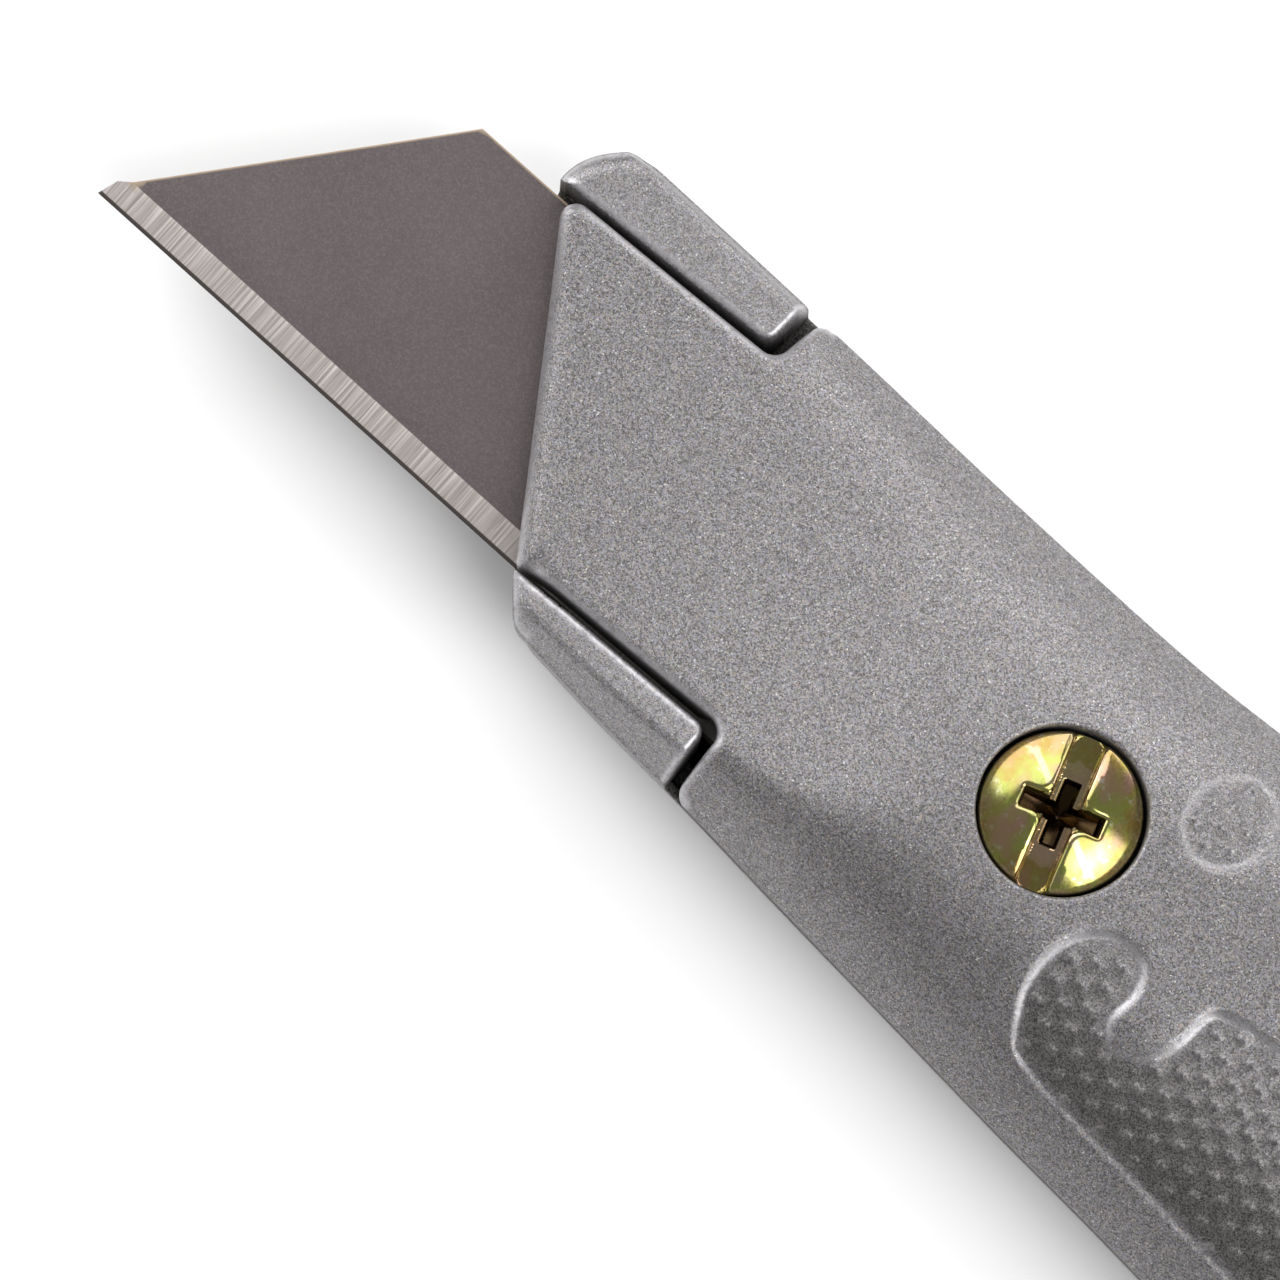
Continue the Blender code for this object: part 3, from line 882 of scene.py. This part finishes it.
def rear_shell(material):
    edge, path = rear_edge()
    edge = divided(edge, EDGE_STEP)
    ends = [[(LUG_TIPS[0], 18), (LUG_TIPS[0], 30)], [(LUG_TIPS[1], -12), (LUG_TIPS[1], 0)]]
    near = [distance_to(edge, np.array(end), False) < 1.2 for end in ends]
    edge = finer(edge, near[0] | near[1])
    bore = circle(SCREW_AT, BORE_RADIUS + 0.2)
    pads = PADS[:2]

    def bottom(points):
        return -outer_height(points, path) - pad_relief(points, pads)

    shape = Shape()
    lower, = shape.sheet([edge], outer_points(edge, pads), bottom,
                         lambda rows: use_outside(rows, path, pads))
    inset = grown(edge, -PARTING_CHAMFER)
    loops = [circle(SCREW_AT, REAR_BOSS, 48), PEG_BOSS, PEG, *RIBS, *SPARE_PINS, POCKET,
             *BLADE_PINS, *map(np.array, MOATS)]
    points = gathered(inset, [(lug_points(), 0.02), (inner_points(inset, loops), 0.1)])
    upper, hole = shape.sheet([inset, bore], points, lambda p: rear_inside(p, path),
                              lambda rows: use_inside(rows, path))
    # the parting edge takes the hollow side's dark mark: painted shade along the parting line
    ledge = shape.add([(*edge[k], shape.points[upper[k]][2] - PARTING_CHAMFER)
                       for k in range(len(edge))], [shape.dark[k] for k in upper])
    shape.wall(lower, ledge, 3)
    shape.band(ledge, upper)
    rows = []
    for height in np.arange(-PARTING - 0.3, BORE_END + 0.5, -THREAD_PITCH / 8):
        radius = thread_radius(height, BORE_RADIUS, BORE_RADIUS + 0.28)
        rows.append(ring_at(SCREW_AT, radius, height))
    rows.append(ring_at(SCREW_AT, BORE_RADIUS, BORE_END + 0.4))
    rows.append(ring_at(SCREW_AT, BORE_RADIUS * 0.6, BORE_END + 0.1))
    # the threaded bore is unpainted casting, drawn dark enough to stand for its shade
    shape.lathe(hole, rows, dark=1.0)
    return made_object(shape, "rear_half", material)


def finer(loop, marked):
    """The loop with eight steps in place of one where it is marked."""
    out = []
    for start, end, mark in zip(loop, np.roll(loop, -1, axis=0), marked):
        steps = 8 if mark else 1
        out += [start + (end - start) * k / steps for k in range(steps)]
    return np.array(out)


def lug_points():
    """Sample points for the two lugs: close together along their edges, and a fine grid."""
    rings = [UPPER_LUG_LOOP]
    for loop in (UPPER_LUG_LOOP, LOWER_LUG_LOOP):
        fine = divided(loop, 0.25)
        rings += [fine, offset(fine, LUG_WALL), offset(fine, LUG_WALL + 0.1)]
        rings += [offset(fine, -reach) for reach in RINGS[:8]]
    grids = [grid((20, 19), (38.6, 25), FINE_STEP), grid((34, -5), (51.8, 0.2), FINE_STEP)]
    return gathered(rings[0], [(ring, 0.02) for ring in rings[1:]] + [(g, 0.16) for g in grids])


# ---------------------------------------------------------------- screw


def box_distance(a, b, half_a, half_b):
    """Distance to a rectangle about the middle, negative inside it."""
    over = np.column_stack([np.abs(a) - half_a, np.abs(b) - half_b])
    return np.linalg.norm(np.maximum(over, 0), axis=1) + np.minimum(over.max(axis=1), 0)


def head_height(points):
    """Height of the screw head's top over its plan, with the slot along the first axis."""
    a, b = points.T
    reach = np.hypot(a, b)
    rise = HEAD_TOP - HEAD_RIM
    curve = (HEAD_RADIUS ** 2 + rise ** 2) / (2 * rise)
    dome = HEAD_TOP - curve + np.sqrt(curve ** 2 - np.minimum(reach, HEAD_RADIUS) ** 2)
    dome = dome - fillet(HEAD_RADIUS - reach, 0.12)
    slot = np.abs(b) - SLOT_HALF
    arms = box_distance(b, a, 2.5, 0.53)
    lip = soft_min(slot, arms, 0.9)
    out = mix(np.minimum(dome, SLOT_FLOOR), dome - fillet(lip - 0.05, 0.3), ramp(slot, 0.16))
    cross = np.minimum(box_distance(a, b, 2.05, 0.47), arms)
    floor = 4.2 + 0.55 * reach
    return mix(np.minimum(out, floor), out, ramp(cross, 0.14))


def clamp_screw(material):
    head = circle((0, 0), HEAD_RADIUS)
    middle = np.array([(a, b) for a in np.arange(-2.9, 2.95, 0.09)
                       for b in np.arange(-2.9, 2.95, 0.09)])
    along = np.arange(-4.6, 4.61, 0.2)
    lines = np.array([(a, side * b) for b in (0.4, 0.77, 0.81, 0.85, 0.89, 0.93, 0.97, 1.03, 1.1)
                      for side in (-1, 1) for a in along])
    insets = (0.03, 0.1, 0.2, 0.36, 0.6)
    rings = np.concatenate([circle((0, 0), HEAD_RADIUS - inset) for inset in insets])
    groups = [(lines, 0.03), (middle, 0.035), (rings, 0.05), (grid((-5, -5), (5, 5), 0.35), 0.16)]
    shape = Shape()
    ring, = shape.sheet([head], gathered(head, groups), head_height)
    rows = [ring_at((0, 0), HEAD_RADIUS, HEAD_UNDERSIDE + 0.25),
            ring_at((0, 0), HEAD_RADIUS - 0.08, HEAD_UNDERSIDE + 0.07),
            ring_at((0, 0), HEAD_RADIUS - 0.25, HEAD_UNDERSIDE),
            ring_at((0, 0), THREAD_RADIUS + 0.1, HEAD_UNDERSIDE),
            ring_at((0, 0), THREAD_ROOT + 0.1, HEAD_UNDERSIDE - 0.2)]
    for height in np.arange(HEAD_UNDERSIDE - 0.4, SCREW_END + 0.55, -THREAD_PITCH / 10):
        fade = smooth((HEAD_UNDERSIDE - 0.2 - height) / 0.8)
        crest = mix(THREAD_ROOT, THREAD_RADIUS, fade)
        rows.append(ring_at((0, 0), thread_radius(height, crest, THREAD_ROOT), height))
    rows.append(ring_at((0, 0), THREAD_ROOT, SCREW_END + 0.45))
    rows.append(ring_at((0, 0), THREAD_ROOT - 0.4, SCREW_END))
    shape.lathe(ring, rows)
    obj = made_object(shape, "screw", material)
    obj.location = ORIGIN + Vector((*SCREW_AT, 0)) * MM
    obj.rotation_euler.z = math.radians(SLOT_ANGLE)
    return obj


# ---------------------------------------------------------------- blades


def ground_outline():
    """The blade's outline, with its tips, rounded corners and two notches."""
    top = BLADE_HEIGHT
    loop = [(0, 0), (0.45, 1.35), (1.25, 1.95), (BLADE_SLANT - 0.25, top - 0.32),
            (BLADE_SLANT, top)]
    floor = top - NOTCH_DEPTH + NOTCH_WIDTH / 2
    for side in (-1, 1):
        centre = (BLADE_LENGTH / 2 + side * NOTCH_OFFSET, floor)
        loop += [(centre[0] - NOTCH_WIDTH / 2 - 0.2, top), (centre[0] - NOTCH_WIDTH / 2, top - 0.2)]
        loop += list(map(tuple, arc(centre, NOTCH_WIDTH / 2, 180, 360, 16)))
        loop += [(centre[0] + NOTCH_WIDTH / 2, top - 0.2), (centre[0] + NOTCH_WIDTH / 2 + 0.2, top)]
    loop += [(BLADE_LENGTH - u, v) for u, v in loop[4::-1]]
    return divided(np.array(loop), 0.8)


def half_thickness(points):
    v = points[:, 1]
    heights = [0, MICRO_GRIND, BLADE_GRIND]
    return np.interp(v, heights, [EDGE_HALF, MICRO_HALF, BLADE_THICKNESS / 2])


def blade(name, material, centre, degrees, height, shaded_from=BLADE_LENGTH):
    """One blade whose middle is at `centre`, turned in the plan and given painted shade from one
    place on, where the handle covers it.
    """
    edge = ground_outline()
    along = np.arange(0.3, BLADE_LENGTH, 0.8)
    rows = np.array([(u, v) for v in (0.1, MICRO_GRIND - 0.02, MICRO_GRIND + 0.02, 0.8, 1.4,
                                      BLADE_GRIND - 0.03, BLADE_GRIND + 0.03) for u in along])
    rims = np.concatenate([offset(edge, -reach) for reach in (BLADE_OUTLINE_RIM / 2, BLADE_OUTLINE_RIM)])
    points = gathered(edge, [(rows, 0.02), (rims[rims[:, 1] > BLADE_GRIND], 0.02),
                             (grid((0, 2.4), (BLADE_LENGTH, 19), 1.6), 0.7)])
    shape = Shape()

    def use(rows):
        rim = smooth(1 - distance_to(rows[:, :2], edge) / BLADE_OUTLINE_RIM)
        # painted shade where the handle covers the blade, and a light rim along the outline above
        # the bevel
        return smooth((rows[:, 0] - shaded_from) / 3), rim * (rows[:, 1] > BLADE_GRIND)

    upper, = shape.sheet([edge], points, half_thickness, use)
    lower, = shape.sheet([edge], points, lambda p: -half_thickness(p), use)
    shape.band(upper, lower)
    obj = made_object(shape, name, material, 30)
    turn = Matrix.Rotation(math.radians(degrees), 3, "Z")
    corner = turn @ Vector((-BLADE_LENGTH / 2, -BLADE_HEIGHT / 2, 0))
    obj.location = ORIGIN + (Vector((*centre, height)) + corner) * MM
    obj.rotation_euler.z = math.radians(degrees)
    return obj


# ---------------------------------------------------------------- finishes


class Nodes:
    """Short calls for building one material's node tree."""

    def __init__(self, name):
        self.material = bpy.data.materials.new(name)
        self.material.use_nodes = True
        self.tree = self.material.node_tree
        self.shader = self.tree.nodes["Principled BSDF"]
        self.place = self.tree.nodes.new("ShaderNodeTexCoord").outputs["Object"]

    def node(self, kind, inputs=None, **settings):
        node = self.tree.nodes.new("ShaderNode" + kind)
        for key, value in settings.items():
            setattr(node, key, value)
        for key, value in (inputs or {}).items():
            self.feed(node.inputs[key], value)
        return node

    def feed(self, socket, value):
        if isinstance(value, bpy.types.NodeSocket):
            self.tree.links.new(value, socket)
        else:
            socket.default_value = value

    def math(self, operation, a, b=0.0, clamp=False):
        node = self.node("Math", {0: a, 1: b}, operation=operation, use_clamp=clamp)
        return node.outputs[0]

    def scaled(self, vector, factors):
        inputs = {0: vector, 1: factors}
        return self.node("VectorMath", inputs, operation="MULTIPLY").outputs[0]

    def noise(self, per_mm, detail=2.0, roughness=0.5, stretch=(1, 1, 1)):
        """Noise between 0 and 1, with `per_mm` features in a millimetre."""
        place = self.scaled(self.place, [per_mm * 1000 * s for s in stretch])
        inputs = {"Vector": place, "Scale": 1.0, "Detail": detail, "Roughness": roughness}
        return self.node("TexNoise", inputs).outputs["Fac"]

    def cells(self, per_mm, output="Color"):
        inputs = {"Vector": self.scaled(self.place, [per_mm * 1000] * 3), "Scale": 1.0}
        return self.node("TexVoronoi", inputs).outputs[output]

    def fit(self, value, low, high, start=0.0, end=1.0):
        """The value's range from low to high taken to start to end, and held there."""
        inputs = {"Value": value, "From Min": low, "From Max": high, "To Min": start,
                  "To Max": end}
        return self.node("MapRange", inputs).outputs["Result"]

    def blend(self, share, one, other):
        """One colour or other by share."""
        node = self.node("Mix", data_type="RGBA")
        for key, value in ((0, share), (6, one), (7, other)):
            self.feed(node.inputs[key], (*value, 1) if isinstance(value, tuple) else value)
        return node.outputs[2]

    def mark(self, name):
        return self.node("Attribute", attribute_name=name).outputs["Fac"]

    def parts(self, vector):
        return self.node("SeparateXYZ", {0: vector}).outputs

    def bump(self, height, strength, distance, normal=None):
        inputs = {"Height": height, "Strength": strength, "Distance": distance * MM}
        if normal:
            inputs["Normal"] = normal
        return self.node("Bump", inputs).outputs["Normal"]

    def done(self, **inputs):
        for key, value in inputs.items():
            socket = self.shader.inputs[key.replace("_", " ")]
            if key == "Base_Color" and isinstance(value, tuple):
                value = (*value, 1)
            self.feed(socket, value)
        return self.material


def cast_paint():
    """Silver-grey metallic paint on die-cast metal: fine flakes, painted highlights on edges,
    painted shade in the pads, and the bare casting inside drawn dark enough to stand for the shade
    in the gaps.
    """
    n = Nodes("cast_metal_paint")
    flakes = n.parts(n.cells(12.5))
    tints = n.parts(n.cells(9.1))
    warm = n.blend(tints[0], (0.42, 0.338, 0.30), (0.318, 0.348, 0.285))
    light = n.blend(tints[1], warm, (0.323, 0.318, 0.386))
    colour = n.blend(flakes[0], (0.078, 0.074, 0.073), light)
    colour = n.blend(n.fit(n.noise(0.45, 3), 0.3, 0.7, 0.12, 0.0), colour, (0.11, 0.105, 0.105))
    colour = n.blend(n.fit(flakes[1], 0.975, 1.0), colour, (0.6, 0.6, 0.6))
    patchy = n.fit(n.noise(2.5, 3), 0.3, 0.55, 0.35, 0.8)
    # painted highlight: the bright mark lightens the paint and makes it glossier
    highlight = n.math("MULTIPLY", n.mark("bright"), patchy)
    colour = n.blend(highlight, colour, (0.52, 0.51, 0.53))
    # dark mark: colour of the bare casting inside, drawn dark enough to also be the painted shade
    # in gaps, pads and along the parting line
    cast = n.blend(flakes[0], (0.016, 0.015, 0.014), (0.15, 0.142, 0.135))
    colour = n.blend(n.mark("dark"), colour, cast)
    rough = n.fit(flakes[2], 0, 1, 0.38, 0.52)
    rough = n.math("SUBTRACT", rough, n.math("MULTIPLY", highlight, 0.14))
    rough = n.math("ADD", rough, n.math("MULTIPLY", n.mark("dark"), 0.15))
    normal = n.bump(n.noise(9, 2), 0.3, 0.012)
    return n.done(Base_Color=colour, Metallic=0.65, Roughness=rough, Normal=normal)


def blade_steel():
    """Dark rolled steel with a ground bevel, painted shade on the honed edge and light sheared
    sides.
    """
    n = Nodes("blade_steel")
    v = n.parts(n.place)[1]
    bevel = n.fit(v, (BLADE_GRIND + 0.03) * MM, (BLADE_GRIND - 0.03) * MM)
    honed = n.fit(v, (MICRO_GRIND + 0.03) * MM, (MICRO_GRIND - 0.03) * MM)
    facing = n.parts(n.node("NewGeometry").outputs["True Normal"])[2]
    side = n.fit(n.math("ABSOLUTE", facing), 0.4, 0.2)
    cloud = n.noise(0.12, 2)
    specks = n.noise(11, 2)
    lines = n.noise(5.0, 3, 0.65, stretch=(1, 0.02, 0.02))
    bands = n.noise(0.9, 2, 0.5, stretch=(1, 0.05, 0.05))
    face = n.blend(n.fit(cloud, 0.3, 0.7), (0.118, 0.099, 0.100), (0.134, 0.113, 0.114))
    face = n.blend(n.fit(specks, 0.35, 0.65, 0.35, 0), face, (0.075, 0.062, 0.062))
    face = n.blend(n.fit(n.parts(n.cells(9))[0], 0.5, 1.0, 0, 0.3), face, (0.21, 0.185, 0.185))
    ground = n.blend(n.fit(lines, 0.32, 0.66), (0.30, 0.265, 0.25), (0.95, 0.88, 0.84))
    ground = n.blend(n.fit(bands, 0.35, 0.65, 0.0, 0.35), ground, (0.54, 0.49, 0.47))
    colour = n.blend(bevel, face, ground)
    # painted shade on the honed edge facet
    colour = n.blend(honed, colour, (0.10, 0.085, 0.08))
    colour = n.blend(n.math("MAXIMUM", side, n.mark("bright")), colour, (0.50, 0.39, 0.28))
    # painted shade where the handle covers the blade
    colour = n.blend(n.math("MULTIPLY", n.mark("dark"), 0.75), colour, (0.03, 0.025, 0.022))
    rough = n.fit(n.math("ADD", bevel, side), 0, 1, 0.5, 0.36)
    normal = n.bump(n.math("MULTIPLY", lines, bevel), 0.3, 0.01)
    normal = n.bump(specks, 0.12, 0.004, normal)
    return n.done(Base_Color=colour, Metallic=0.8, Roughness=rough, Normal=normal)


def yellow_zinc():
    """Yellow chromate over zinc plate, with patches of other tints and painted shade in the driver
    recess.
    """
    n = Nodes("yellow_zinc_plate")
    patches = n.noise(0.42, 3, 0.6)
    tint = n.noise(0.3, 2, 0.5, stretch=(1, 1.3, 1))
    fine = n.noise(6, 3)
    worn = n.fit(n.node("NewGeometry").outputs["Pointiness"], 0.52, 0.6)
    depth = n.parts(n.place)[2]
    colour = n.blend(n.fit(patches, 0.4, 0.6), (0.36, 0.25, 0.075), (0.36, 0.39, 0.10))
    colour = n.blend(n.fit(tint, 0.48, 0.62), colour, (0.46, 0.29, 0.20))
    colour = n.blend(n.fit(tint, 0.45, 0.32), colour, (0.40, 0.31, 0.17))
    colour = n.blend(n.fit(n.noise(1.6, 3, 0.6), 0.6, 0.72, 0.0, 0.5), colour, (0.62, 0.60, 0.48))
    colour = n.blend(n.math("MULTIPLY", worn, 0.5), colour, (0.72, 0.62, 0.44))
    # painted shade: darker and browner towards the slot floor, near black deep in the cross
    recess_shade = n.fit(depth, (SLOT_FLOOR + 0.25) * MM, (SLOT_FLOOR - 0.05) * MM, 0, 0.5)
    colour = n.blend(recess_shade, colour, (0.24, 0.125, 0.055))
    recess_shade = n.fit(depth, (SLOT_FLOOR - 0.05) * MM, (SLOT_FLOOR - 0.5) * MM, 0, 0.93)
    colour = n.blend(recess_shade, colour, (0.02, 0.009, 0.005))
    rough = n.fit(fine, 0.3, 0.7, 0.11, 0.2)
    normal = n.bump(fine, 0.12, 0.01)
    return n.done(Base_Color=colour, Metallic=0.95, Roughness=rough, Normal=normal)


def floor_finish():
    n = Nodes("white_table")
    tone = n.blend(n.noise(0.01, 2), (0.86, 0.86, 0.86), (0.88, 0.88, 0.88))
    return n.done(Base_Color=tone, Roughness=0.9)


# ---------------------------------------------------------------- light, floor and camera


def to_row(point):
    return ORIGIN + Vector(point) * MM


def add_floor():
    mesh = bpy.data.meshes.new("table")
    corners = [(x, y, 0) for x, y in rectangle((TABLE_SIZE, TABLE_SIZE), (0, 0))]
    mesh.from_pydata(corners, [], [(0, 1, 2, 3)])
    mesh.materials.append(floor_finish())
    table = bpy.data.objects.new("table", mesh)
    table.location.z = cad_box[0].z - 0.05 * MM
    bpy.context.scene.collection.objects.link(table)


def add_softbox(name, azimuth, elevation, size, power):
    """A rectangular light that faces the middle of the view."""
    lamp = bpy.data.lights.new(name, "AREA")
    lamp.shape = "RECTANGLE"
    lamp.size, lamp.size_y = size
    lamp.energy = power
    obj = bpy.data.objects.new(name, lamp)
    a, e = math.radians(azimuth), math.radians(elevation)
    out = Vector((math.cos(a) * math.cos(e), math.sin(a) * math.cos(e), math.sin(e)))
    obj.location = to_row((55, 8, 0)) + out * LIGHT_DISTANCE
    obj.rotation_euler = out.to_track_quat("Z", "Y").to_euler()
    bpy.context.scene.collection.objects.link(obj)


def add_lights():
    for name, settings in SOFTBOXES.items():
        add_softbox(name, *settings)


def add_world():
    world = bpy.data.worlds.new("studio")
    world.use_nodes = True
    background = world.node_tree.nodes["Background"]
    background.inputs["Color"].default_value = (1, 1, 1, 1)
    background.inputs["Strength"].default_value = SKY_STRENGTH
    bpy.context.scene.world = world


def add_camera():
    turn, tilt = math.radians(VIEW_TURN), math.radians(VIEW_TILT)
    right = Vector((math.cos(turn), math.sin(turn), 0))
    ahead = Vector((-math.sin(turn), math.cos(turn), 0))
    back = math.cos(tilt) * Vector((0, 0, 1)) - math.sin(tilt) * ahead
    up = back.cross(right)
    camera = bpy.data.cameras.new("camera")
    camera.lens = VIEW_LENS
    camera.sensor_width = 36
    camera.clip_start = 0.01
    camera.clip_end = 50
    obj = bpy.data.objects.new("camera", camera)
    rotation = Matrix((right, up, back)).transposed().to_4x4()
    place = to_row(Vector(VIEW_CENTRE) + back * VIEW_DISTANCE)
    obj.matrix_world = Matrix.Translation(place) @ rotation
    bpy.context.scene.collection.objects.link(obj)
    bpy.context.scene.camera = obj


def main():
    paint, steel, zinc = cast_paint(), blade_steel(), yellow_zinc()
    stands_for(rear_shell(paint), "rear_shell")
    stands_for(front_shell(paint), "front_shell")
    stands_for(clamp_screw(zinc), "clamp_screw")
    working = blade("blade", steel, (BLADE_LENGTH / 2, BLADE_HEIGHT / 2), 0, 0, SHADED_FROM)
    stands_for(working, "working_blade")
    for k in range(SPARE_COUNT):
        height = SPARE_LOWEST + k * SPARE_PITCH
        spare = blade(f"spare_{k + 1}", steel, SPARE_CENTRE, SPARE_ANGLE, height)
        stands_for(spare, f"spare_blade_{k + 1}")
    add_floor()
    add_world()
    add_lights()
    add_camera()
    bpy.context.scene.view_settings.view_transform = "Standard"


main()
